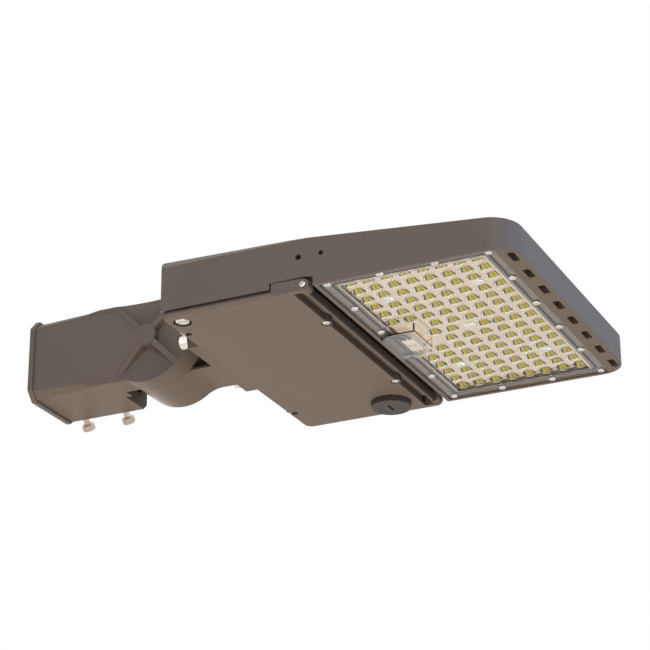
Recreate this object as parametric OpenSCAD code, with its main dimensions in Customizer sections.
// Shoebox area light: a flat LED head on an adjustable slip fitter.
// Millimetres. The origin is the centre of the fitter's mouth, where the pole's tenon goes in.
// +X runs from the mouth to the nose of the head, +Z is up, and the light shines down.

/* [Slip fitter] */
// Bore of the socket that takes the pole's tenon
socket_d = 62; // [60.5:0.5:66]
// Depth of the socket
socket_len = 78; // [70:1:84]
// Width of the fitter's body
fitter_w = 80; // [78:1:90]
// Height of the fitter's body
fitter_h = 78.6; // [74:0.2:84]
// How far the rim at the mouth stands proud of the body
rim_proud = 3; // [1.5:0.5:5]
// Length of the rim at the mouth
rim_len = 5; // [3:0.5:9]
// Chamfer of the fitter's corners, measured across
fitter_chamfer_w = 7; // [5:0.5:13]
// Chamfer of the fitter's corners, measured upright
fitter_chamfer_h = 6; // [3:0.2:8]
// Place of the first clamp bolt, from the mouth
clamp_first_x = 18; // [14:0.1:26]
// Distance between the clamp bolts
clamp_pitch = 45.4; // [36:0.2:50]
// Thread diameter of a clamp bolt
clamp_bolt_d = 6; // [5:0.5:8]
// Width across the flats of a clamp bolt's head
clamp_head_af = 11; // [8:0.5:13]
// Thickness of a clamp bolt's head
clamp_head_h = 6.5; // [3:0.1:8]
// How far a clamp bolt's head stands off the body at rest
clamp_standoff = 6.5; // [6.5:0.5:14]

/* [Knuckle] */
// Radius of the two discs of the knuckle
disc_r = 47.5; // [44:0.5:52]
// Height of the tilt axis above the tenon's axis
pivot_z = 4; // [0:0.5:8]
// Thickness of the fitter's disc
cheek_t = 28; // [24:0.5:32]
// Gap between the two discs
disc_gap = 0.3; // [0.2:0.1:0.6]
// Diameter of the pivot bolt
pivot_d = 12; // [8:0.5:16]
// Distance from the tilt axis to the back of the arm's flange
arm_reach = 57.5; // [56:0.5:70]
// Width of the arm's flange
flange_w = 120; // [110:1:140]
// Thickness of the arm's flange
flange_t = 20; // [10:0.5:26]
// Number of radial grooves in each disc
serration_n = 36; // [24:2:48]
// Depth of a radial groove
serration_h = 1.2; // [0.8:0.1:2]
// Depth of the sunk sectors beside the boss on the fitter's disc
sector_depth = 8.5; // [4:0.5:12]
// Radius of the boss at the middle of the fitter's disc
boss_r = 10.5; // [8:0.5:14]
// Width of the ribs that cross the fitter's disc
rib_w = 6; // [3:0.5:7]

/* [Housing] */
// Length of the housing
house_len = 336.5; // [330:0.5:360]
// Width of the housing
house_w = 306; // [300:1:330]
// Thickness of the housing's walls
wall = 3.5; // [2.5:0.1:4]
// Height of the tilt axis above the rim round the lens
rim_drop = 40.4; // [39:0.2:44]
// Height of the back of the housing above the tilt axis
back_rise = 13.5; // [11:0.5:20]
// Height of the roof above the tilt axis where its slope changes
break_rise = 7.3; // [5:0.1:10]
// Height of the nose, from the rim to the top edge
nose_h = 28; // [26:0.5:34]
// Length of the driver bay's roof, from the back to the change of slope
roof_len = 130.5; // [120:0.5:140]
// Radius of the nose's corners
nose_r = 24; // [10:1:30]
// Width of the chamfer along the roof's edges, at the back
roof_chamfer_w = 7; // [3:0.5:10]
// Height of the chamfer along the roof's edges, at the back
roof_chamfer_h = 8; // [4:0.5:10]
// Thickness of the plate that carries the LED board
base_t = 4; // [3:0.5:6]
// Thickness of a cooling fin
fin_t = 2; // [1.4:0.1:3]
// Number of slots along the nose
nose_slot_n = 8; // [4:1:8]
// Distance between the slots
nose_slot_pitch = 37.1; // [34:0.1:40]
// Length of a slot
nose_slot_len = 18.2; // [12:0.2:22]
// Width of a slot
nose_slot_w = 6.5; // [4:0.1:8]

/* [Driver door] */
// Length of the door's flat plate
door_len = 130.5; // [124:0.5:136]
// Thickness of the door's plate
door_t = 3; // [2:0.1:4]
// How far the door's face hangs below the rim round the lens
door_drop = 2.8; // [2:0.1:4]
// Diameter of a hinge pin
hinge_pin_d = 4; // [3:0.1:5]
// Height of the groove along the door's front
groove_h = 8; // [5:0.5:9]
// Width of the groove along the door's front
groove_w = 10; // [8:0.5:11]
// Distance from the middle to each of the door's front screws
door_screw_y = 77; // [60:1:110]
// Diameter of the plug in the sensor port
plug_d = 39.4; // [30:0.2:44]
// How far the plug's head hangs below the door
plug_h = 5; // [3:0.5:8]
// Diameter of the captive screw
captive_d = 6; // [5:0.5:8]

/* [Optics] */
// Distance between the LEDs along the head
led_pitch_x = 17; // [16:0.1:17.4]
// Distance between the LEDs across the head
led_pitch_y = 18.63; // [17:0.01:19]
// Number of LEDs along the head
led_cols = 8; // [8:1:8]
// Number of LEDs across the head
led_rows = 15; // [15:1:15]
// Side of a square LED package
led_size = 7; // [3:0.1:7.5]
// Thickness of the LED board
board_t = 1.6; // [1:0.1:2.4]
// Thickness of the lens panel
lens_t = 2; // [1.5:0.1:3]
// Radius of the dome in front of an LED
dome_r = 6.5; // [5:0.1:7]
// Height of the dome in front of an LED
dome_h = 3.4; // [2:0.1:4.5]

/* [Driver bay] */
// Length of the LED driver
driver_len = 190; // [150:1:200]
// Width of the LED driver
driver_w = 60; // [50:1:64]
// Height of the LED driver
driver_h = 30; // [20:0.5:33]
// Diameter of the wire bushing in the back wall
bushing_d = 22; // [16:0.5:24]

/* [Hidden] */
$fn = 48;

// Overrun of every cut past the face that it opens
cut = 1;
// Radial clearance of a pin or bolt that turns in its bore
run_clear = 0.05;
// Radial clearance of a screw in a plain hole
hole_clear = 0.3;
// Gap between pieces that sit beside each other without touching
side_gap = 0.4;

// Places along the knuckle
knuckle_gap = 2;
pivot_x = socket_len + knuckle_gap + disc_r;
cheek_y0 = -fitter_w / 2;
split_y = cheek_y0 + cheek_t;
arm_y0 = split_y + disc_gap / 2;
arm_y1 = fitter_w / 2;
tube_over = 7.6;
tube_len = socket_len + tube_over;
disc_clear = 1;
far_chamfer = 6;
body_r = socket_d / 2;
// Run-out of the near chamfers: [share of the stretch before the ribs, share of the depth]
runout_shares = [[0.2, 0], [0.75, 0.4], [0.88, 0.7], [0.95, 0.9], [1, 1]];
runout_x1 = socket_len + knuckle_gap;
gusset_y = -1;
gusset_len = 7;

// The panel between the left ribs stands a step above them and above the ledges along its edges
panel_step = 1;
panel_before = 12.6;
panel_ledge = 5.6;
panel_x0 = socket_len - panel_before;
ledge_z = fitter_h / 2 - panel_ledge;
rib_angles = [45, 135, 232, 315];
collar_w = 4.5;
collar_r = boss_r + collar_w;
sector_rim = 0.8;

// Pivot bolt
pivot_r = pivot_d / 2;
pivot_head_af = pivot_d * 1.6;
pivot_head_h = pivot_d * 0.62;
pivot_washer_t = 2;
pivot_washer_r = pivot_head_af * 0.64;
pivot_end_wall = 6;
pivot_recess = pivot_head_h + pivot_washer_t + 0.6 * pivot_washer_t;
pivot_seat_y = arm_y1 - pivot_recess;

// Arm and its flange
flange_x0 = pivot_x + arm_reach;
flange_x1 = flange_x0 + flange_t;
flange_below = 33;
flange_above = 9.5;
flange_z0 = pivot_z - flange_below;
flange_z1 = pivot_z + flange_above;
arm_r = disc_r - 1.5 * disc_clear;
web_fillet_low_r = 30;
web_fillet_top_r = 12;
arm_bolt_d = 8;
arm_bolt_inset_y = 5.5;
arm_bolt_inset_z = 9;
arm_bolt_y = flange_w / 2 - arm_bolt_inset_y;
arm_bolt_z_low = flange_z0 + arm_bolt_inset_z;
arm_bolt_z_top = flange_z1 - arm_bolt_inset_z;
arm_head_r = 6.25;
arm_head_h = 8;
arm_washer_t = 1.6;
arm_washer_r = 7.5;
arm_bolt_grip = 12;
gasket_t = 1;
wireway_back = 18;
wireway_below = 18;
wireway_above = 8;
wireway_y0 = arm_y0 + wireway_back;
wireway_y1 = arm_y1 - pivot_recess - pivot_washer_t;
wireway_z0 = pivot_z - wireway_below;
wireway_z1 = pivot_z + wireway_above;

// Housing
house_x0 = flange_x1 + gasket_t;
house_x1 = house_x0 + house_len;
house_y = house_w / 2;
inner_y = house_y - wall;
rim_z = pivot_z - rim_drop;
back_z = pivot_z + back_rise;
break_z = pivot_z + break_rise;
break_x = house_x0 + roof_len;
nose_z = rim_z + nose_h;
back_corner_r = 5;
skirt_rise = 3.9;
skirt_z = rim_z + skirt_rise;
bay_x0 = house_x0 + wall;

// Hinge of the driver door
door_back_gap = 0.5;
door_side_gap = 1;
hinge_ahead = 1;
hinge_rise = 2.8;
pocket_rise = 9.6;
pocket_back = 32;
pocket_front = 10.3;
ear_back = 1.5;
door_x0 = house_x0 + door_back_gap;
door_z0 = rim_z - door_drop;
door_z1 = door_z0 + door_t;
door_flat_x1 = door_x0 + door_len;
hinge_x = door_flat_x1 + groove_w + hinge_ahead;
hinge_z = rim_z + hinge_rise;
hinge_pin_r = hinge_pin_d / 2;
ear_r = hinge_z - door_z0;
pocket_z = rim_z + pocket_rise;
pocket_x0 = hinge_x - pocket_back;
pocket_x1 = hinge_x + pocket_front;
ear_x0 = pocket_x0 + ear_back;
door_y = house_y - door_side_gap;
ear_t = 5.4;
ear_y0 = door_y - ear_t;
lug_t = 5.8;
lug_y1 = ear_y0 - side_gap;
lug_y0 = lug_y1 - lug_t;
front_y = lug_y0 - side_gap;

// Driver bay: ledge that the door's seal presses on, shelf over the door's groove, bulkhead
ledge_t = 3;
ledge_w = 10.5;
seal_x0 = bay_x0 + ledge_w;
seal_to_hinge = 27;
seal_inset = 11.5;
seal_x1 = hinge_x - seal_to_hinge;
seal_y = inner_y - seal_inset;
seal_corner = 20;
shelf_rise = 12.4;
shelf_z = rim_z + shelf_rise;
shelf_t = 3;
bulkhead_ahead = 5;
bulkhead_x0 = hinge_x + bulkhead_ahead;
ridge_t = 3;
ridge_x1 = pocket_x1 + ridge_t;

// Screws of the door
captive_inset_x = 14.8;
captive_inset_y = 17.9;
captive_x = house_x0 + captive_inset_x;
captive_y = -(house_y - captive_inset_y);
captive_r = captive_d / 2;
captive_head_af = captive_d * 2.45;
captive_head_h = 3.6;
captive_recess_r = captive_d * 1.47;
captive_recess_h = 4.2;
captive_floor_t = 1.7;
captive_boss_r = 11;
captive_len = 11;
captive_thread_clear = 0.8;
captive_ring_w = 1.4;
captive_ring_up = 8;
captive_bore_clear = 1;
captive_slot_w = 1.8;
captive_slot_h = 1.2;
captive_ring_r = captive_r + captive_ring_w;
captive_ring_t = 0.8;
captive_ring_z = door_z0 + captive_recess_h + captive_ring_up;
captive_bore_r = captive_ring_r + captive_bore_clear;
door_screw_inset = 1.4;
door_screw_x = door_flat_x1 - door_screw_inset;
door_screw_r = 2;
door_screw_head_r = 4;
door_screw_head_h = 2.2;
door_screw_boss_r = 5.5;
door_screw_rim = 0.8;
door_screw_sink = 0.2;
// The riser behind the groove stays clear of the screws' bosses as the door swings
door_swing_clear = 1;
ledge_x1 = door_screw_x - door_screw_boss_r - door_swing_clear;
door_screw_len = 11.3;
door_edge = 2;
door_corner_r = 9;
lip_t = 3;
lip_gap = 0.5;
lip_z1 = skirt_z - lip_gap;
groove_lip_over = 0.5;
groove_lip_back = 1.3;
edge_face = 0.1;
lip_y1 = inner_y;
bead_z1 = door_z1;
notch_inset = 43.5;
notch_y = house_y - notch_inset;
notch_w = 6.4;
notch_len = 9.8;

// Door seal
seal_gap = 4;
seal_w = 3.2;

// Sensor port
plug_inset_x = 37.5;
plug_inset_y = 29.2;
plug_x = hinge_x - plug_inset_x;
plug_y = house_y - plug_inset_y;
plug_neck_r = 6.5;
plug_gasket_r = 16;
plug_gasket_t = 1;
plug_slot_w = 2.2;
plug_slot_len_share = 0.42;
plug_slot_h = 1.2;
plug_nut_af = 17;
plug_nut_t = 3;

// Nose slots and fins
nose_wall = 3;
nose_slot_inset = 7.5;
nose_slot_x = house_x1 - nose_slot_inset;
nose_slot_r = 2.4;
// Patterns across the head keep their share of its width, which is this wide as drawn
drawn_house_w = 306;
nose_slot_step = nose_slot_pitch * house_w / drawn_house_w;
fin_pitch = nose_slot_step / 3;
fin_n = 24;
fin_drop = 1.2;
side_hole_drop = 11.2;
side_hole_before = 3.7;
side_hole_after = 18.1;
side_hole_z = pivot_z - side_hole_drop;
side_hole_back_x = hinge_x - side_hole_before;
side_hole_front_x = hinge_x + side_hole_after;
side_hole_back_r = 2.8;
side_hole_front_r = 2.3;
side_boss_r = 5;
side_boss_h = 8;

// Lens panel, its gasket and the board
lens_back_gap = 1.2;
lens_front_rim = 18.3;
lens_side_gap = 0.3;
lens_sink = 1.6;
lens_x0 = ridge_x1 + lens_back_gap;
lens_x1 = house_x1 - lens_front_rim;
lens_y = inner_y - lens_side_gap;
lens_flange_z = rim_z + lens_sink;
lens_gasket_t = 0.8;
lens_gasket_w = 9;
recess_z = lens_flange_z + lens_t + lens_gasket_t;
pocket_inset = 11.5;
board_clear = 1;
board_inset_y = 10.5;
board_rise = 5.3;
board_edge_gap = 0.5;
board_x0 = lens_x0 + pocket_inset + board_clear;
board_x1 = lens_x1 - pocket_inset - board_clear;
board_y = lens_y - board_inset_y;
board_seat_z = recess_z + board_rise;
// The grid keeps its share of the board, which is this long and half this wide as drawn
drawn_board_len = 136.7;
drawn_board_y = 138.7;
grid_x = led_pitch_x * (board_x1 - board_x0) / drawn_board_len;
grid_y = led_pitch_y * board_y / drawn_board_y;
grid_margin_share = 0.494;
board_z = board_seat_z - board_t;
base_top_z = board_seat_z + base_t;
led_t = 0.8;
led_x0 = board_x0 + grid_x * grid_margin_share;
led_y0 = -(led_rows - 1) / 2 * grid_y;
field_rise = 3.6;
field_wall = 2;
field_x0 = board_x0;
field_x1 = board_x1;
field_y = board_y;
cover_back_gap = 0.8;
cover_x0 = lens_x0 + cover_back_gap;
cover_x1 = led_x0 + grid_x;
cover_y0 = -1.5 * grid_y;
cover_y1 = 1.6 * grid_y;
cover_drop = 5.2;
cover_corner_back = 9;
cover_corner_front = 16;

// Rows nudged away from the board's screws, in shares of the row pitch, and the screws' places
board_screw_shares = [[1, 2.5], [1, 11.5], [6, 2.5], [6, 11.5], [3.55, 7]];
middle_row = (led_rows - 1) / 2;
middle_row_cols = [1.5, 2.5, 4.35, 5.13, 6.07, 7];
bare_cells = [[0, 6], [0, 7], [0, 8], [1, 6], [1, 7], [1, 8]];
near_nudge_share = 0.16;
next_nudge_share = 0.08;
board_screw_r = 1.5;
board_screw_head_r = 2.9;
board_screw_head_h = 0.8;
board_bite_share = 0.8;

// Lens screws
lens_screw_r = 1.75;
lens_screw_head_r = 3.4;
lens_screw_head_h = 1.5;
lens_screw_len = 6;
lens_screw_inset = 4.2;
lens_screw_y = lens_y - lens_screw_inset;
lens_screw_gap_y = lens_screw_y * 0.4048;
lens_screw_further = 1.6;
lens_screw_end = lens_screw_inset + lens_screw_further;
lens_side_shares = [0.345, 0.66];

// Wire passage between the bay and the lens recess
duct_r = 4;
duct_wall = 4;
duct_inset = 4.8;
duct_x = lens_x0 + duct_inset;
duct_y = -0.9125 * grid_y;
grommet_flange_r = 7;
duct_z = shelf_z + shelf_t + grommet_flange_r + side_gap;
grommet_flange_t = 1.5;
grommet_bore_r = 2.6;
lead_r = 0.9;
lead_gap = 2.8;
lead_sides = 8;
lead_bend_r = 2.6;
bend_steps = 4;

// Connector on the board
connector_x0 = board_x0 + grid_x * 0.12;
connector_w = grid_x * 0.706;
connector_y0 = -0.215 * grid_y;
connector_len = grid_y * 1.395;
connector_h = 6.8;
lead_lift = 0.1;
lead_low_z = board_z - connector_h + lead_r + lead_lift;

// Pieces in the driver bay
driver_back_gap = 14;
driver_rise = 1;
driver_near_share = 0.54;
driver_x0 = seal_x0 + driver_back_gap;
driver_y0 = -driver_len * driver_near_share;
driver_z1 = pivot_z + driver_rise;
driver_z0 = driver_z1 - driver_h;
driver_corner_r = 3;
driver_foot_inset = 2;
driver_foot_len = 12;
driver_foot_t = 2.5;
driver_seat_z = driver_z1 + driver_foot_t;
driver_screw_r = 2;
driver_boss_r = 5.5;
surge_r = 19;
surge_h = 23;
surge_tab_w = 12;
surge_tab_t = 2;
surge_screw_gap = surge_r + surge_tab_w / 2;
bay_gap = 9;
bay_side_gap = 6;
surge_x = driver_x0 + driver_w + bay_gap + surge_r;
surge_y = inner_y - bay_side_gap - surge_screw_gap - surge_tab_w / 2;
terminal_x0 = driver_x0 + driver_w + bay_gap;
terminal_w = 20;
terminal_len = 36;
terminal_h = 16;
terminal_gap = 3;
terminal_y0 = surge_y - surge_screw_gap - surge_tab_w / 2 - terminal_gap - terminal_len;
terminal_z1 = driver_z1 + surge_tab_t / 2;
terminal_bore_r = 2.5;
terminal_sink = 1;
terminal_bores = 3;
ground_x = terminal_x0 + terminal_w / 2;
ground_y = terminal_y0 - terminal_len * 0.83;
ground_head_h = 2.4;
ground_head_af = 8;
bushing_r = bushing_d / 2;
bushing_y = (wireway_y0 + wireway_y1) / 2;
bushing_z = (wireway_z0 + wireway_z1) / 2;
bushing_flange_t = 2;
bushing_flange_w = 2;
bushing_wall = 2.5;
catch_w = 5;
catch_t = 1;
catch_foot = 4.2;
catch_gap = 0.5;
catch_top = 5;
catch_rivet_cover = 1;
catch_rivet_r = 1.6;
catch_rivet_drop = 20;
catch_rivet_z = pivot_z - catch_rivet_drop;
pin_head_r = 2.9;
pin_head_h = 1;
pin_standoff = 0.2;

bronze = [0.40, 0.36, 0.34];
bronze_dark = [0.33, 0.30, 0.28];
steel = [0.78, 0.77, 0.75];
black = [0.08, 0.08, 0.08];

// The children, drawn in X and Z, as a slab between two places along Y
module xz_slab(y0, y1) translate([0, y1, 0]) rotate([90, 0, 0]) linear_extrude(y1 - y0) children();

// The children, drawn in Y and Z, as a slab between two places along X
module yz_slab(x0, x1) translate([x0, 0, 0]) rotate([90, 0, 90]) linear_extrude(x1 - x0) children();

// The children, drawn in X and Y, as a slab between two heights
module xy_slab(z0, z1) translate([0, 0, z0]) linear_extrude(z1 - z0) children();

module block(x0, x1, y0, y1, z0, z1) translate([x0, y0, z0]) cube([x1 - x0, y1 - y0, z1 - z0]);

module x_rod(x0, x1, y, z, r) translate([x0, y, z]) rotate([0, 90, 0]) cylinder(h = x1 - x0, r = r);

module y_rod(y0, y1, x, z, r) translate([x, y1, z]) rotate([90, 0, 0]) cylinder(h = y1 - y0, r = r);

module z_rod(z0, z1, x, y, r) translate([x, y, z0]) cylinder(h = z1 - z0, r = r);

// A flat rectangle with round corners
module round_rect(x0, x1, y0, y1, r) {
    translate([x0 + r, y0]) square([x1 - x0 - 2 * r, y1 - y0]);
    translate([x0, y0 + r]) square([x1 - x0, y1 - y0 - 2 * r]);
    for (x = [x0 + r, x1 - r], y = [y0 + r, y1 - r]) translate([x, y]) circle(r);
}

module both_sides() {
    children();
    mirror([0, 1, 0]) children();
}

// Section of the fitter's body or rim, chamfered on all four corners
module fitter_section(w, h, near_w, near_h, far_c) {
    polygon([[-w / 2, -h / 2 + near_h], [-w / 2 + near_w, -h / 2], [w / 2 - far_c, -h / 2],
        [w / 2, -h / 2 + far_c], [w / 2, h / 2 - far_c], [w / 2 - far_c, h / 2],
        [-w / 2 + near_w, h / 2], [-w / 2, h / 2 - near_h]]);
}

// Outline of the fitter's disc with the stretch that joins it to the tube, cut flat on top
module cheek_outline() {
    intersection() {
        union() {
            translate([pivot_x, pivot_z]) circle(disc_r);
            translate([socket_len, -fitter_h / 2]) square([pivot_x - socket_len, fitter_h]);
        }
        translate([socket_len, pivot_z - disc_r - cut]) square([2 * disc_r + 2 * cut + knuckle_gap,
            fitter_h / 2 - pivot_z + disc_r + cut]);
    }
}

// The four ribs and the boss that stay proud on the fitter's disc
module rib_cross() {
    translate([pivot_x, pivot_z]) circle(boss_r);
    rib_bars();
}

module rib_bars() translate([pivot_x, pivot_z])
    for (a = rib_angles) rotate(a) translate([0, -rib_w / 2]) square([disc_r + socket_len, rib_w]);

// The raised panel between the two left ribs
module panel_area() difference() {
    intersection() {
        translate([pivot_x, pivot_z]) polygon([[0, 0], for (a = [rib_angles[1], 180, rib_angles[2]])
            3 * disc_r * [cos(a), sin(a)]]);
        translate([0, -ledge_z]) square([pivot_x, 2 * ledge_z]);
    }
    rib_bars();
}

// A chamfer along the body's near edge, above or below, which runs out towards the ribs
module near_chamfer(side) {
    w = fitter_chamfer_w;
    h = fitter_chamfer_h;
    across = norm([w, h]);
    flat = (fitter_w / 2 * h + (fitter_h / 2 - h) * w) / across;
    depth = w * h / across;
    rotate([atan2(h, side * w), 0, 0]) xz_slab(-fitter_w, fitter_w)
        polygon(concat([[-cut, flat]],
            [for (s = runout_shares) [runout_x1 * s[0], flat + depth * s[1]]],
            [[runout_x1, flat + fitter_w], [-cut, flat + fitter_w]]));
}

// The three sunk sectors, which leave the one that faces the tube
module sunk_sectors() {
    far = disc_r * 1.6;
    difference() {
        translate([pivot_x, pivot_z])
            polygon([[0, 0], [-far, far], [far, far], [far, -far], [-far / tan(rib_angles[2]), -far]]);
        rib_cross();
    }
}

// Radial grooves in a disc's face, which point along +Y from the face
module serrations(y) {
    inner_share = 0.5;
    outer_share = 0.88;
    half = PI * disc_r * inner_share / serration_n;
    translate([pivot_x, y, pivot_z])
        for (i = [0 : serration_n - 1]) rotate([0, i * 360 / serration_n, 0])
            translate([disc_r * inner_share, 0, 0]) rotate([90, 0, 90])
                linear_extrude(disc_r * (outer_share - inner_share))
                    polygon([[-serration_h, 0], [0, half], [serration_h, 0], [0, -half]]);
}

// Turns the children from the X axis to the line of a clamp bolt, at 45 degrees below the far side
module clamp_line(x) translate([x, 0, 0]) rotate([-135, 0, 0]) children();

module fitter_body() color(bronze) difference() {
    union() {
        yz_slab(0, rim_len) fitter_section(fitter_w + 2 * rim_proud, fitter_h + 2 * rim_proud,
            fitter_chamfer_w * 1.3, fitter_chamfer_h * 1.7, far_chamfer * 2);
        difference() {
            union() {
                yz_slab(0, tube_len) fitter_section(fitter_w, fitter_h, 0, 0, far_chamfer);
                xz_slab(cheek_y0, split_y - disc_gap / 2) cheek_outline();
                block(tube_len - cut, tube_len + gusset_len, cheek_y0, gusset_y, -fitter_h / 2, 0);
            }
            for (side = [-1, 1]) near_chamfer(side);
        }
    }
    x_rod(-cut, socket_len, 0, 0, body_r);
    // Room for the arm's disc, and for the tenon's wires to reach it
    y_rod(split_y - disc_gap / 2, fitter_w / 2 + cut, pivot_x, pivot_z, disc_r + disc_clear);
    block(socket_len - cut, tube_len + cut, split_y - disc_gap / 2, body_r * 0.9, -body_r * 0.8,
        body_r * 0.8);
    // The sectors sink from the disc's rim towards the boss
    intersection() {
        xz_slab(cheek_y0 - cut, cheek_y0 + sector_depth + cut) sunk_sectors();
        union() {
            y_rod(cheek_y0 - cut, cheek_y0 + panel_step + sector_rim, pivot_x, pivot_z, 2 * disc_r);
            translate([pivot_x, cheek_y0 + panel_step + sector_rim, pivot_z]) rotate([-90, 0, 0])
                cylinder(h = sector_depth - panel_step - sector_rim, r1 = disc_r + cut, r2 = collar_r);
        }
    }
    // The panel and the boss stand a step above the ribs and the ledges
    xz_slab(cheek_y0 - cut, cheek_y0 + panel_step) difference() {
        translate([panel_x0, pivot_z - disc_r - cut])
            square([pivot_x + disc_r + cut - panel_x0, 2 * (disc_r + cut)]);
        translate([pivot_x, pivot_z]) circle(boss_r);
        panel_area();
    }
    serrations(split_y - disc_gap / 2);
    y_rod(cheek_y0 + pivot_end_wall, split_y + cut, pivot_x, pivot_z, pivot_r);
    for (x = [clamp_first_x, clamp_first_x + clamp_pitch])
        clamp_line(x) cylinder(h = fitter_w, r = clamp_bolt_d / 2 + run_clear);
}

module pivot_bolt() color(steel) {
    y_rod(cheek_y0 + pivot_end_wall, pivot_seat_y + pivot_washer_t, pivot_x, pivot_z, pivot_r);
    translate([pivot_x, pivot_seat_y + pivot_washer_t + pivot_head_h, pivot_z]) rotate([90, 0, 0])
        cylinder(h = pivot_head_h, d = pivot_head_af / cos(30), $fn = 6);
}

module pivot_washer() color(steel) difference() {
    y_rod(pivot_seat_y, pivot_seat_y + pivot_washer_t, pivot_x, pivot_z, pivot_washer_r);
    y_rod(pivot_seat_y - cut, pivot_seat_y + pivot_washer_t + cut, pivot_x, pivot_z,
        pivot_r + run_clear);
}

// A clamp bolt at rest: its tip flush with the bore, its head off the body
module clamp_bolt(x) color(steel) clamp_line(x) {
    corner = (fitter_w / 2 + fitter_h / 2 - far_chamfer) / sqrt(2);
    head = corner + clamp_standoff;
    translate([0, 0, body_r + side_gap]) cylinder(h = head - body_r - side_gap, r = clamp_bolt_d / 2);
    translate([0, 0, head]) cylinder(h = clamp_head_h, d = clamp_head_af / cos(30), $fn = 6);
}

module clamp_bolt_outer() clamp_bolt(clamp_first_x);

module clamp_bolt_inner() clamp_bolt(clamp_first_x + clamp_pitch);

// A fillet between the disc and a level edge of the web, which lies below or above the axis
module web_fillet(level, r, side) {
    rise = abs(level - pivot_z) + r;
    run = sqrt(pow(arm_r + r, 2) - pow(rise, 2));
    touch = (arm_r - cut) / (arm_r + r);
    translate([pivot_x, pivot_z]) scale([1, side]) difference() {
        polygon([[0, 0], [run * touch, rise * touch], [run, rise - r], [run, 0]]);
        translate([run, rise]) circle(r);
    }
}

module arm_profile() {
    translate([pivot_x, pivot_z]) circle(arm_r);
    translate([pivot_x, flange_z0]) square([flange_x1 - pivot_x, flange_z1 - flange_z0]);
    web_fillet(flange_z0, web_fillet_low_r, -1);
    web_fillet(flange_z1, web_fillet_top_r, 1);
}

module knuckle_arm() color(bronze) difference() {
    union() {
        xz_slab(arm_y0, arm_y1) arm_profile();
        block(flange_x0, flange_x1, -flange_w / 2, flange_w / 2, flange_z0, flange_z1);
    }
    difference() {
        block(pivot_x - 2 * disc_r, flange_x1 + cut, wireway_y0, wireway_y1, wireway_z0, wireway_z1);
        y_rod(arm_y0, arm_y1, pivot_x, pivot_z, pivot_r + wall);
    }
    y_rod(arm_y0 - cut, arm_y1 + cut, pivot_x, pivot_z, pivot_r + run_clear);
    y_rod(pivot_seat_y, arm_y1 + cut, pivot_x, pivot_z, pivot_washer_r + hole_clear);
    serrations(arm_y0);
    arm_bolt_places() x_rod(flange_x0 - cut, flange_x1 + cut, 0, 0, arm_bolt_d / 2 + hole_clear);
}

module arm_bolt_places() {
    for (y = [-arm_bolt_y, arm_bolt_y], z = [arm_bolt_z_low, arm_bolt_z_top])
        translate([0, y, z]) children();
}

module arm_gasket() color(black) difference() {
    block(flange_x1, house_x0, -flange_w / 2 + cut, flange_w / 2 - cut, flange_z0 + cut,
        flange_z1 - cut);
    x_rod(flange_x1 - cut, house_x0 + cut, bushing_y, bushing_z, bushing_r);
    arm_bolt_places() x_rod(flange_x1 - cut, house_x0 + cut, 0, 0, arm_bolt_d / 2 + hole_clear);
}

module arm_bolts() color(steel) arm_bolt_places() {
    seat = flange_x0 - arm_washer_t;
    x_rod(seat, house_x0 + arm_bolt_grip, 0, 0, arm_bolt_d / 2);
    difference() {
        x_rod(seat - arm_head_h, seat, 0, 0, arm_head_r);
        translate([seat - arm_head_h - cut, 0, 0]) rotate([0, 90, 0])
            cylinder(h = arm_head_h / 2 + cut, d = arm_head_r, $fn = 6);
    }
}

module arm_washers() color(steel) arm_bolt_places() difference() {
    x_rod(flange_x0 - arm_washer_t, flange_x0, 0, 0, arm_washer_r);
    x_rod(flange_x0 - arm_washer_t - cut, flange_x0 + cut, 0, 0, arm_bolt_d / 2 + run_clear);
}

// Height of the roof at a place along X
function roof_z(x) = x < break_x
    ? back_z + (break_z - back_z) * (x - house_x0) / roof_len
    : break_z + (nose_z - break_z) * (x - break_x) / (house_x1 - break_x);

// Side view of the housing
module housing_side() {
    polygon([[house_x0, skirt_z], [house_x0, back_z], [break_x, break_z], [house_x1, nose_z],
        [house_x1, rim_z], [pocket_x1, rim_z], [pocket_x1, pocket_z], [pocket_x0, pocket_z],
        [pocket_x0, skirt_z]]);
}

// Plan view of the housing
module housing_plan() {
    round_rect(house_x0, house_x0 + house_len / 2, -house_y, house_y, back_corner_r);
    round_rect(house_x0 + house_len / 4, house_x1, -house_y, house_y, nose_r);
}

// End view of the housing, with the chamfers along the roof
module housing_end() {
    polygon([[-house_y, rim_z - cut], [house_y, rim_z - cut], [house_y, back_z - roof_chamfer_h],
        [house_y - roof_chamfer_w, back_z], [house_y - roof_chamfer_w, back_z + cut],
        [-house_y + roof_chamfer_w, back_z + cut], [-house_y + roof_chamfer_w, back_z],
        [-house_y, back_z - roof_chamfer_h]]);
}

// Inside of the driver bay, below the roof
module bay_side() {
    polygon([[bay_x0, skirt_z - cut], [bay_x0, roof_z(bay_x0) - wall], [break_x, break_z - wall],
        [bulkhead_x0, roof_z(bulkhead_x0) - wall], [bulkhead_x0, skirt_z - cut]]);
}

// Mouth of the driver bay, grown by a distance, with a corner left out for the captive screw
module bay_mouth(grow) {
    corner_x = captive_x + seal_corner;
    corner_y = captive_y + seal_corner;
    difference() {
        translate([seal_x0 - grow, -seal_y - grow])
            square([seal_x1 - seal_x0 + 2 * grow, 2 * (seal_y + grow)]);
        translate([seal_x0 - grow - cut, -seal_y - grow - cut])
            square([corner_x - grow - (seal_x0 - grow - cut), corner_y - grow + seal_y + grow + cut]);
    }
}

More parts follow.
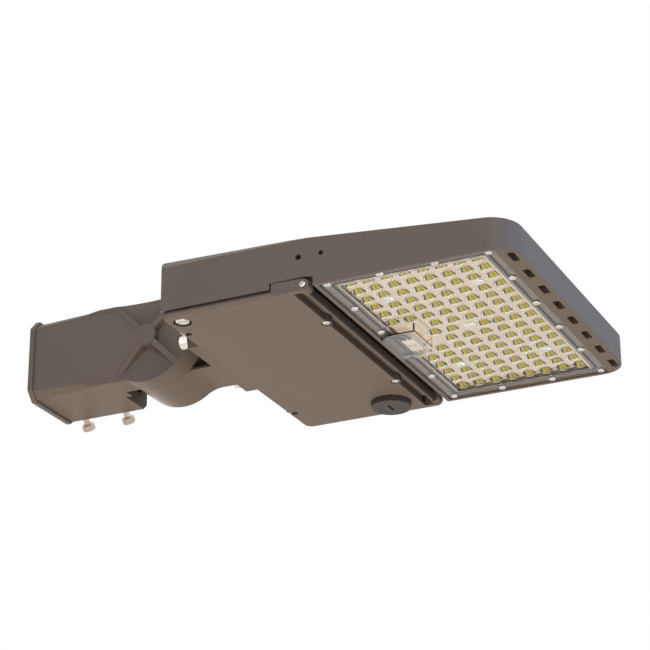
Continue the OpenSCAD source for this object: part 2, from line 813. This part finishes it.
// The ledge that the door's seal presses on
module bay_ledge() {
    xy_slab(skirt_z, skirt_z + ledge_t) difference() {
        union() {
            translate([bay_x0 - cut, -inner_y - cut])
                square([pocket_x0 - side_gap - bay_x0, 2 * (inner_y + cut)]);
            translate([bay_x0, -lug_y1]) square([ledge_x1 - bay_x0, 2 * lug_y1]);
        }
        bay_mouth(0);
        for (y = [-notch_y, notch_y]) translate([bay_x0, y - notch_w / 2])
            square([2 * catch_t, notch_w]);
    }
    // Riser and shelf over the door's groove
    block(ledge_x1 - ledge_t, ledge_x1, -inner_y - cut, inner_y + cut, pocket_z, shelf_z + shelf_t);
    block(ledge_x1 - ledge_t, ledge_x1, -lug_y1, lug_y1, skirt_z, pocket_z + cut);
    block(ledge_x1 - ledge_t, bulkhead_x0 + cut, -inner_y - cut, inner_y + cut, shelf_z,
        shelf_z + shelf_t);
}

module hinge_lug() difference() {
    union() {
        xz_slab(lug_y0, lug_y1) union() {
            translate([hinge_x, hinge_z]) circle(ear_r - side_gap);
            translate([hinge_x - ear_r + side_gap, hinge_z])
                square([2 * (ear_r - side_gap), shelf_z - hinge_z + cut]);
        }
    }
    y_rod(lug_y0 - cut, lug_y1 + cut, hinge_x, hinge_z, hinge_pin_r);
}

// Bosses that hang from the roof of the bay, each down to the seat of its piece
module bay_bosses() {
    driver_screw_places() z_rod(driver_seat_z, back_z + cut, 0, 0, driver_boss_r);
    surge_screw_places() z_rod(surge_seat_z, back_z + cut, 0, 0, driver_boss_r);
    block(terminal_x0, terminal_x0 + terminal_w, terminal_y0, terminal_y0 + terminal_len, terminal_z1,
        back_z + cut);
    z_rod(pivot_z, back_z + cut, ground_x, ground_y, driver_boss_r);
    z_rod(skirt_z, captive_boss_z1, captive_x, captive_y, captive_boss_r);
    for (y = [-door_screw_y, door_screw_y])
        z_rod(shelf_z, shelf_z + 3 * shelf_t, door_screw_x, y, door_screw_boss_r);
    both_sides() y_rod(inner_y - side_boss_h, inner_y + cut, side_hole_back_x, side_hole_z, side_boss_r);
    arm_bolt_places() x_rod(house_x0 + cut, house_x0 + arm_bolt_grip + wall, 0, 0,
        arm_bolt_d / 2 + wall);
}

bay_screw_bite = 3.6;
surge_seat_z = driver_z1;
captive_boss_h = 16;
captive_boss_z1 = skirt_z + captive_boss_h;

module driver_screw_places() {
    for (x = [driver_x0 + driver_w * 0.2, driver_x0 + driver_w * 0.8],
            y = [driver_y0 - driver_foot_len / 2, driver_y0 + driver_len + driver_foot_len / 2])
        translate([x, y, 0]) children();
}

module surge_screw_places() {
    for (y = [-surge_screw_gap, surge_screw_gap]) translate([surge_x, surge_y + y, 0]) children();
}

// The heat sink: side walls, nose wall and fins above the plate that carries the board
module sink_space() {
    difference() {
        xy_slab(base_top_z, back_z + cut)
            round_rect(ridge_x1, house_x1 - nose_wall, -inner_y, inner_y, nose_r - nose_wall);
        for (i = [0 : fin_n - 1]) {
            y = (i - (fin_n - 1) / 2) * fin_pitch;
            xz_slab(y - fin_t / 2, y + fin_t / 2) fin_side();
        }
        block(ridge_x1 - cut, duct_x + duct_r + duct_wall, duct_y - duct_r - duct_wall,
            duct_y + duct_r + duct_wall, base_top_z, duct_z + duct_r + duct_wall);
    }
}

// Side view of a fin, which stops a little below the line of the roof
module fin_side() {
    polygon([[ridge_x1 - cut, base_top_z - cut], [ridge_x1 - cut, roof_z(ridge_x1) - fin_drop],
        [house_x1, nose_z - fin_drop], [house_x1, base_top_z - cut]]);
}

module nose_slots() {
    for (i = [0 : nose_slot_n - 1]) {
        y = (i - (nose_slot_n - 1) / 2) * nose_slot_step;
        xy_slab(rim_z - cut, base_top_z + cut) round_rect(nose_slot_x - nose_slot_w / 2,
            nose_slot_x + nose_slot_w / 2, y - nose_slot_len / 2, y + nose_slot_len / 2, nose_slot_r);
    }
}

module housing() color(bronze) difference() {
    union() {
        difference() {
            intersection() {
                xz_slab(-house_y, house_y) housing_side();
                xy_slab(rim_z - cut, back_z + cut) housing_plan();
                yz_slab(house_x0 - cut, house_x1 + cut) housing_end();
            }
            xz_slab(-inner_y, inner_y) bay_side();
            block(ledge_x1, pocket_x1, -inner_y, inner_y, pocket_z - cut, shelf_z);
            sink_space();
        }
        bay_ledge();
        both_sides() hinge_lug();
        intersection() {
            xz_slab(-inner_y - cut, inner_y + cut) housing_side();
            bay_bosses();
        }
    }
    // Recess for the lens panel, and the pocket for the board
    block(lens_x0 - lens_side_gap, lens_x1 + lens_side_gap, -inner_y, inner_y, rim_z - cut, recess_z);
    block(board_x0 - board_edge_gap, board_x1 + board_edge_gap, -board_y - board_edge_gap,
        board_y + board_edge_gap, rim_z, board_seat_z);
    nose_slots();
    both_sides() {
        y_rod(inner_y - side_boss_h + wall, house_y + cut, side_hole_back_x, side_hole_z,
            side_hole_back_r);
        y_rod(inner_y - cut, house_y + cut, side_hole_front_x, side_hole_z, side_hole_front_r);
    }
    x_rod(bulkhead_x0 - cut, duct_x, duct_y, duct_z, duct_r);
    z_rod(rim_z, duct_z, duct_x, duct_y, duct_r);
    x_rod(house_x0 - cut, bay_x0 + cut, bushing_y, bushing_z, bushing_r);
    arm_bolt_places() x_rod(house_x0 - cut, house_x0 + arm_bolt_grip, 0, 0, arm_bolt_d / 2);
    z_rod(skirt_z - cut, captive_ring_z + captive_ring_t + cut, captive_x, captive_y, captive_bore_r);
    z_rod(skirt_z, captive_boss_z1 - wall, captive_x, captive_y, captive_r + captive_thread_clear);
    for (y = [-door_screw_y, door_screw_y])
        z_rod(shelf_z - cut, shelf_z + 2 * shelf_t, door_screw_x, y, door_screw_r);
    driver_screw_places() z_rod(driver_z1, driver_seat_z + bay_screw_bite, 0, 0, driver_screw_r);
    surge_screw_places() z_rod(surge_seat_z - cut, surge_seat_z + bay_screw_bite, 0, 0, driver_screw_r);
    for (y = [terminal_y0 + terminal_len * 0.17, terminal_y0 + terminal_len * 0.83])
        z_rod(terminal_z1 - cut, terminal_z1 + bay_screw_bite, terminal_x0 + terminal_w / 2, y,
            driver_screw_r);
    z_rod(pivot_z - cut, pivot_z + bay_screw_bite, ground_x, ground_y, driver_screw_r);
    lens_screw_places() z_rod(recess_z - cut, recess_z + lens_screw_len, 0, 0, lens_screw_r);
    board_screw_places() z_rod(board_seat_z - cut, board_seat_z + base_t * board_bite_share, 0, 0,
        board_screw_r);
    for (y = [-notch_y, notch_y])
        x_rod(house_x0 + catch_rivet_cover, bay_x0 + cut, y, catch_rivet_z, catch_rivet_r);
}

// Place of an LED in the grid, counted from the back near corner
function cell(c, r) = [led_x0 + c * grid_x, led_y0 + r * grid_y];

// How far a cell's row moves away from a board screw in its column
function nudge(c, r) = let (d = [for (s = board_screw_shares) if (s[0] == c && abs(r - s[1]) < 2) r - s[1]])
    len(d) == 0 ? 0 : sign(d[0]) * (abs(d[0]) < 1 ? near_nudge_share : next_nudge_share);

function is_bare(c, r) = len([for (b = bare_cells) if (b[0] == c && b[1] == r) 1]) > 0;

led_cells = concat(
    [for (c = [0 : led_cols - 1], r = [0 : led_rows - 1])
        if (r != middle_row && !is_bare(c, r)) [c, r + nudge(c, r)]],
    [for (c = middle_row_cols) [c, middle_row]]);

module led_places() for (s = led_cells) translate(cell(s[0], s[1])) children();

module board_screw_places() for (s = board_screw_shares) translate(cell(s[0], s[1])) children();

// Screws round the lens panel: the two ends, then the sides
lens_end_y = [-lens_screw_y, -1.5 * lens_screw_gap_y, -0.5 * lens_screw_gap_y, 0.5 * lens_screw_gap_y,
    1.5 * lens_screw_gap_y, lens_screw_y];
lens_screw_spots = concat(
    [for (y = lens_end_y) [lens_x1 - lens_screw_end, y]],
    [for (i = [0, 1, 2, 4, 5]) [lens_x0 + lens_screw_end, lens_end_y[i]]],
    [for (s = lens_side_shares, y = [-lens_screw_y, lens_screw_y]) [lens_x0 + s * (lens_x1 - lens_x0), y]]);

module lens_screw_places() for (s = lens_screw_spots) translate(s) children();

module led_board() color([0.93, 0.92, 0.88]) difference() {
    block(board_x0, board_x1, -board_y, board_y, board_z, board_seat_z);
    board_screw_places() z_rod(board_z - cut, board_seat_z + cut, 0, 0, board_screw_r + run_clear);
}

module led_chips() color([0.85, 0.80, 0.25]) led_places()
    translate([-led_size / 2, -led_size / 2, board_z - led_t]) cube([led_size, led_size, led_t]);

module board_screws() color(steel) board_screw_places() {
    z_rod(board_z - board_screw_head_h, board_z, 0, 0, board_screw_head_r);
    z_rod(board_z, board_seat_z + base_t * board_bite_share, 0, 0, board_screw_r);
}

module board_connector() color([0.95, 0.95, 0.92])
    block(connector_x0, connector_x0 + connector_w, connector_y0, connector_y0 + connector_len,
        board_z - connector_h, board_z);

function unit(v) = v / norm(v);

// A corner of a route, rounded with a parabola that starts a distance before it
function bend(a, b, c, r) = let (p = b - r * unit(b - a), q = b + r * unit(c - b))
    [for (i = [0 : bend_steps]) let (t = i / bend_steps)
        pow(1 - t, 2) * p + 2 * t * (1 - t) * b + t * t * q];

function rounded_route(p, r) = concat([p[0]],
    [for (i = [1 : len(p) - 2]) each bend(p[i - 1], p[i], p[i + 1], r)], [p[len(p) - 1]]);

function heading(p, i) = i == 0 ? unit(p[1] - p[0])
    : i == len(p) - 1 ? unit(p[i] - p[i - 1])
    : unit(unit(p[i + 1] - p[i]) + unit(p[i] - p[i - 1]));

// A direction square to the route at each of its points, carried along so that it never twists
function carried(p, side, i = 0) = i == len(p) ? []
    : let (n = unit(side - (side * heading(p, i)) * heading(p, i))) concat([n], carried(p, n, i + 1));

// A round lead swept along a route
module lead(points) {
    p = rounded_route(points, lead_bend_r);
    n = carried(p, [0, 1, 0]);
    m = lead_sides;
    polyhedron(
        points = [for (i = [0 : len(p) - 1], k = [0 : m - 1]) let (a = 360 * k / m)
            p[i] + lead_r * (cos(a) * n[i] + sin(a) * cross(heading(p, i), n[i]))],
        faces = concat([[for (k = [0 : m - 1]) m - 1 - k]],
            [for (i = [0 : len(p) - 2], k = [0 : m - 1])
                [i * m + k, i * m + (k + 1) % m, (i + 1) * m + (k + 1) % m, (i + 1) * m + k]],
            [[for (k = [0 : m - 1]) (len(p) - 1) * m + k]]));
}

// Two leads from the driver through the duct to the connector, which turn in without crossing
module led_leads() color(black) for (s = [-1, 1]) {
    y = duct_y + s * lead_gap / 2;
    end_x = connector_x0 + connector_w / 2 - s * connector_w / 5;
    lead([[driver_x0 + driver_w, y, duct_z], [duct_x, y, duct_z], [duct_x, y, lead_low_z],
        [end_x, connector_y0 - 3 * lead_bend_r + s * lead_bend_r, lead_low_z],
        [end_x, connector_y0, lead_low_z]]);
}

module lens_gasket() color(black) xy_slab(recess_z - lens_gasket_t, recess_z) difference() {
    translate([lens_x0, -lens_y]) square([lens_x1 - lens_x0, 2 * lens_y]);
    translate([lens_x0 + lens_gasket_w, -lens_y + lens_gasket_w])
        square([lens_x1 - lens_x0 - 2 * lens_gasket_w, 2 * (lens_y - lens_gasket_w)]);
    lens_screw_places() circle(lens_screw_r + hole_clear);
    translate([duct_x, duct_y]) circle(duct_r);
}

// A spherical cap that hangs below a level
module dome(z, r, h) {
    ball_r = (r * r + h * h) / (2 * h);
    translate([0, 0, z]) intersection() {
        translate([0, 0, ball_r - h]) sphere(ball_r, $fn = 32);
        translate([0, 0, -h - cut]) cylinder(h = h + cut + run_clear * 4, r = r + cut);
    }
}

// Outline of the cover over the connector, drawn in by a distance, with two corners cut off
module cover_outline(inset) {
    back = cover_corner_back + inset * sqrt(2);
    front = cover_corner_front + inset * sqrt(2);
    difference() {
        translate([cover_x0 + inset, cover_y0 + inset])
            square([cover_x1 - cover_x0 - 2 * inset, cover_y1 - cover_y0 - 2 * inset]);
        translate([cover_x0, cover_y0])
            polygon([[-back, -back], [2 * back, -back], [-back, 2 * back]]);
        translate([cover_x1, cover_y1])
            polygon([[front, front], [-2 * front, front], [front, -2 * front]]);
    }
}

module lens_panel() color([0.80, 0.86, 0.88, 0.45]) {
    flange_top = lens_flange_z + lens_t;
    face = lens_flange_z + field_rise;
    cover_z = lens_flange_z - cover_drop;
    difference() {
        union() {
            difference() {
                union() {
                    block(lens_x0, lens_x1, -lens_y, lens_y, lens_flange_z, flange_top);
                    block(field_x0, field_x1, -field_y, field_y, lens_flange_z, face + lens_t);
                }
                block(field_x0 + field_wall, field_x1 - field_wall, -field_y + field_wall,
                    field_y - field_wall, lens_flange_z - cut, face);
            }
            xy_slab(cover_z, flange_top) cover_outline(0);
            intersection() {
                xy_slab(cover_z, face + lens_t) cover_outline(0);
                block(field_x0, field_x1, -field_y, field_y, cover_z - cut, face + lens_t);
            }
            led_places() dome(face, dome_r, dome_h);
            board_screw_places() dome(face, dome_r * 0.8, dome_h * 0.5);
        }
        xy_slab(cover_z + lens_t, face + lens_t + cut) cover_outline(lens_t);
        lens_screw_places() z_rod(lens_flange_z - cut, flange_top + cut, 0, 0, lens_screw_r + run_clear);
    }
}

module lens_screws() color(steel) lens_screw_places() {
    z_rod(lens_flange_z - lens_screw_head_h, lens_flange_z, 0, 0, lens_screw_head_r);
    z_rod(lens_flange_z, recess_z + lens_screw_len, 0, 0, lens_screw_r);
}

// Rubber grommet in the bulkhead
module lead_grommet() color(black) difference() {
    union() {
        x_rod(bulkhead_x0 - grommet_flange_t, bulkhead_x0, duct_y, duct_z, grommet_flange_r);
        x_rod(bulkhead_x0 - cut, ridge_x1, duct_y, duct_z, duct_r - run_clear);
    }
    x_rod(bulkhead_x0 - 2 * grommet_flange_t, ridge_x1 + cut, duct_y, duct_z, grommet_bore_r);
}

// Potted driver with a foot at each end
module led_driver() color([0.86, 0.87, 0.88]) difference() {
    union() {
        xy_slab(driver_z0, driver_z1) round_rect(driver_x0, driver_x0 + driver_w, driver_y0,
            driver_y0 + driver_len, driver_corner_r);
        block(driver_x0 + driver_foot_inset, driver_x0 + driver_w - driver_foot_inset,
            driver_y0 - driver_foot_len,
            driver_y0 + driver_len + driver_foot_len, driver_z1, driver_z1 + driver_foot_t);
    }
    driver_screw_places() z_rod(driver_z1 - cut, driver_z1 + driver_foot_t + cut, 0, 0,
        driver_screw_r + run_clear);
}

module pan_screw(seat, head_r, head_h, r, tip) {
    z_rod(seat - head_h, seat, 0, 0, head_r);
    z_rod(seat, tip, 0, 0, r);
}

module driver_screws() color(steel) driver_screw_places()
    pan_screw(driver_z1, 2 * driver_screw_r, driver_screw_r, driver_screw_r,
        driver_seat_z + bay_screw_bite);

// Round surge protector with two ears
module surge_protector() color([0.12, 0.12, 0.13]) difference() {
    union() {
        z_rod(surge_seat_z - surge_h, surge_seat_z, surge_x, surge_y, surge_r);
        block(surge_x - surge_tab_w / 2, surge_x + surge_tab_w / 2,
            surge_y - surge_screw_gap - surge_tab_w / 2, surge_y + surge_screw_gap + surge_tab_w / 2,
            surge_seat_z - surge_tab_t, surge_seat_z);
    }
    surge_screw_places() z_rod(surge_seat_z - surge_tab_t - cut, surge_seat_z + cut, 0, 0,
        driver_screw_r + run_clear);
}

module surge_screws() color(steel) surge_screw_places()
    pan_screw(surge_seat_z - surge_tab_t, 2 * driver_screw_r, driver_screw_r, driver_screw_r,
        surge_seat_z + bay_screw_bite);

terminal_screw_z = terminal_z1 - terminal_h;

module terminal_block() color([0.90, 0.88, 0.80]) difference() {
    block(terminal_x0, terminal_x0 + terminal_w, terminal_y0, terminal_y0 + terminal_len,
        terminal_screw_z, terminal_z1);
    for (i = [0 : terminal_bores - 1]) {
        y = terminal_y0 + terminal_len * (i + 0.5) / terminal_bores;
        for (x = [terminal_x0 + terminal_w * 0.3, terminal_x0 + terminal_w * 0.7])
            z_rod(terminal_screw_z - cut, terminal_screw_z + terminal_h * 0.3, x, y, terminal_bore_r);
    }
    for (y = [terminal_y0 + terminal_len * 0.17, terminal_y0 + terminal_len * 0.83])
        z_rod(terminal_screw_z + terminal_h * 0.5, terminal_z1 + cut, terminal_x0 + terminal_w / 2, y,
            driver_screw_r + run_clear);
}

module terminal_screws() color(steel) for (i = [0 : terminal_bores - 1]) {
    y = terminal_y0 + terminal_len * (i + 0.5) / terminal_bores;
    for (x = [terminal_x0 + terminal_w * 0.3, terminal_x0 + terminal_w * 0.7])
        z_rod(terminal_screw_z + terminal_sink, terminal_screw_z + terminal_h * 0.3, x, y, terminal_bore_r);
}

module ground_screw() color([0.2, 0.6, 0.25]) translate([ground_x, ground_y, 0]) {
    translate([0, 0, pivot_z - ground_head_h])
        cylinder(h = ground_head_h, d = ground_head_af / cos(30), $fn = 6);
    z_rod(pivot_z, pivot_z + bay_screw_bite, 0, 0, driver_screw_r);
}

// Bushing that the supply wires pass through, from the arm into the bay
module supply_bushing() color(black) difference() {
    union() {
        x_rod(flange_x1, bay_x0, bushing_y, bushing_z, bushing_r - run_clear);
        x_rod(bay_x0, bay_x0 + bushing_flange_t, bushing_y, bushing_z,
            bushing_r + bushing_flange_w);
    }
    x_rod(flange_x1 - cut, bay_x0 + bushing_flange_t + cut, bushing_y, bushing_z,
        bushing_r - bushing_wall);
}

module door_catches() color(steel) for (y = [-notch_y, notch_y]) difference() {
    union() {
        block(bay_x0, bay_x0 + catch_t, y - catch_w / 2, y + catch_w / 2, door_z0 + catch_gap,
            catch_rivet_z + catch_top);
        block(bay_x0 - catch_foot, bay_x0 + catch_t, y - catch_w / 2, y + catch_w / 2,
            door_z0 + catch_gap, door_z0 + catch_gap + catch_t);
    }
    x_rod(bay_x0 - cut, bay_x0 + catch_t + cut, y, catch_rivet_z, catch_rivet_r);
}

module catch_rivets() color(steel) for (y = [-notch_y, notch_y]) {
    x_rod(house_x0 + catch_rivet_cover, bay_x0 + catch_t, y, catch_rivet_z, catch_rivet_r);
    x_rod(bay_x0 + catch_t, bay_x0 + 2 * catch_t, y, catch_rivet_z, catch_rivet_r * 1.6);
}

module hinge_pins() color(steel) both_sides() {
    y_rod(-door_y - pin_standoff, -lug_y0, hinge_x, hinge_z, hinge_pin_r);
    y_rod(-door_y - pin_standoff - pin_head_h, -door_y - pin_standoff, hinge_x, hinge_z, pin_head_r);
}

// Outline of the door's plate, drawn in by a distance
module door_outline(inset) {
    round_rect(door_x0 + inset, door_flat_x1, -door_y + inset, door_y - inset, door_corner_r - inset);
    translate([door_flat_x1 - 2 * door_corner_r, -door_y + inset])
        square([2 * door_corner_r, 2 * (door_y - inset)]);
}

// Ear at each end of the door's front edge, which turns on the hinge pin
module door_ear() {
    top = pocket_z - side_gap;
    xz_slab(ear_y0, door_y) difference() {
        union() {
            translate([hinge_x, hinge_z]) circle(ear_r);
            polygon([[ear_x0, door_z0 + door_edge], [ear_x0, top], [hinge_x, hinge_z + ear_r],
                [hinge_x, hinge_z - ear_r], [ear_x0, hinge_z - ear_r]]);
        }
        translate([hinge_x, hinge_z]) circle(hinge_pin_r + run_clear);
    }
}

module driver_door() color(bronze) {
    groove_top = door_z0 + groove_h + lip_t / 2;
    difference() {
        union() {
            hull() {
                xy_slab(door_z0, door_z0 + edge_face) door_outline(door_edge);
                xy_slab(door_z0 + door_edge, door_z1) door_outline(0);
            }
            // Upright lip round the back and sides
            xy_slab(door_z1 - cut, lip_z1) difference() {
                translate([bay_x0, -lip_y1]) square([ear_x0 - bay_x0 + lip_t, 2 * lip_y1]);
                translate([bay_x0 + lip_t, -lip_y1 + lip_t])
                    square([ear_x0 - bay_x0 + lip_t, 2 * (lip_y1 - lip_t)]);
            }
            // Wall, floor and lip of the groove along the front
            block(door_flat_x1 - lip_t / 2, door_flat_x1, -front_y, front_y, door_z0, groove_top);
            block(door_flat_x1 - lip_t / 2, hinge_x + groove_lip_over, -front_y, front_y,
                groove_top - lip_t / 2, groove_top);
            block(hinge_x - groove_lip_back, hinge_x + groove_lip_over, -front_y, front_y,
                door_z0 + door_edge / 2, groove_top);
            for (y = [-door_screw_y, door_screw_y])
                z_rod(door_z0, groove_top, door_screw_x, y, door_screw_boss_r);
            z_rod(door_z0, door_z0 + captive_recess_h + captive_floor_t, captive_x, captive_y,
                captive_recess_r + captive_floor_t);
            both_sides() door_ear();
        }
        z_rod(door_z0 - cut, door_z0 + captive_recess_h, captive_x, captive_y, captive_recess_r);
        z_rod(door_z0, lip_z1 + cut, captive_x, captive_y, captive_r + hole_clear);
        for (y = [-door_screw_y, door_screw_y]) {
            z_rod(door_z0 - cut, door_z0 + door_screw_head_h, door_screw_x, y,
                door_screw_head_r + door_screw_rim);
            z_rod(door_z0, groove_top + cut, door_screw_x, y, door_screw_r + run_clear);
        }
        z_rod(door_z0 - cut, door_z1 + cut, plug_x, plug_y, plug_neck_r + run_clear);
        for (y = [-notch_y, notch_y]) block(door_x0 - cut, door_x0 + notch_len, y - notch_w / 2,
            y + notch_w / 2, door_z0 - cut, lip_z1 + cut);
    }
}

module door_gasket() color(black) xy_slab(door_z1, skirt_z) difference() {
    bay_mouth(seal_gap + seal_w);
    bay_mouth(seal_gap);
}

module door_screws() color(steel) for (y = [-door_screw_y, door_screw_y])
    translate([door_screw_x, y, 0]) pan_screw(door_z0 + door_screw_head_h, door_screw_head_r,
        door_screw_head_h - door_screw_sink, door_screw_r, door_z0 + door_screw_head_h + door_screw_len);

module captive_screw() color(steel) translate([captive_x, captive_y, door_z0 + captive_recess_h]) {
    translate([0, 0, -captive_head_h]) difference() {
        cylinder(h = captive_head_h, d = captive_head_af / cos(30), $fn = 6);
        translate([-captive_head_af, -captive_slot_w / 2, -cut])
            cube([2 * captive_head_af, captive_slot_w, cut + captive_slot_h]);
    }
    cylinder(h = captive_len, r = captive_r);
}

module captive_ring() color(steel) difference() {
    z_rod(captive_ring_z, captive_ring_z + captive_ring_t, captive_x, captive_y, captive_ring_r);
    z_rod(captive_ring_z - cut, captive_ring_z + captive_ring_t + cut, captive_x, captive_y, captive_r);
}

module sensor_plug() color(bronze_dark) translate([plug_x, plug_y, door_z0 - plug_gasket_t]) {
    difference() {
        translate([0, 0, -plug_h]) cylinder(h = plug_h, d = plug_d);
        rotate(40) translate([-plug_d * plug_slot_len_share / 2, -plug_slot_w / 2, -plug_h - cut])
            cube([plug_d * plug_slot_len_share, plug_slot_w, cut + plug_slot_h]);
    }
    cylinder(h = plug_gasket_t + door_t + plug_nut_t, r = plug_neck_r);
}

module plug_gasket() color(black) difference() {
    z_rod(door_z0 - plug_gasket_t, door_z0, plug_x, plug_y, plug_gasket_r);
    z_rod(door_z0 - plug_gasket_t - cut, door_z0 + cut, plug_x, plug_y, plug_neck_r + run_clear);
}

module plug_nut() color(bronze_dark) translate([plug_x, plug_y, door_z1]) difference() {
    cylinder(h = plug_nut_t, d = plug_nut_af / cos(30), $fn = 6);
    translate([0, 0, -cut]) cylinder(h = plug_nut_t + 2 * cut, r = plug_neck_r);
}

fitter_body();
pivot_bolt();
pivot_washer();
clamp_bolt_outer();
clamp_bolt_inner();
knuckle_arm();
arm_gasket();
arm_bolts();
arm_washers();
housing();
led_board();
led_chips();
board_screws();
board_connector();
led_leads();
lens_gasket();
lens_panel();
lens_screws();
lead_grommet();
led_driver();
driver_screws();
surge_protector();
surge_screws();
terminal_block();
terminal_screws();
ground_screw();
supply_bushing();
door_catches();
catch_rivets();
hinge_pins();
driver_door();
door_gasket();
door_screws();
captive_screw();
captive_ring();
sensor_plug();
plug_gasket();
plug_nut();
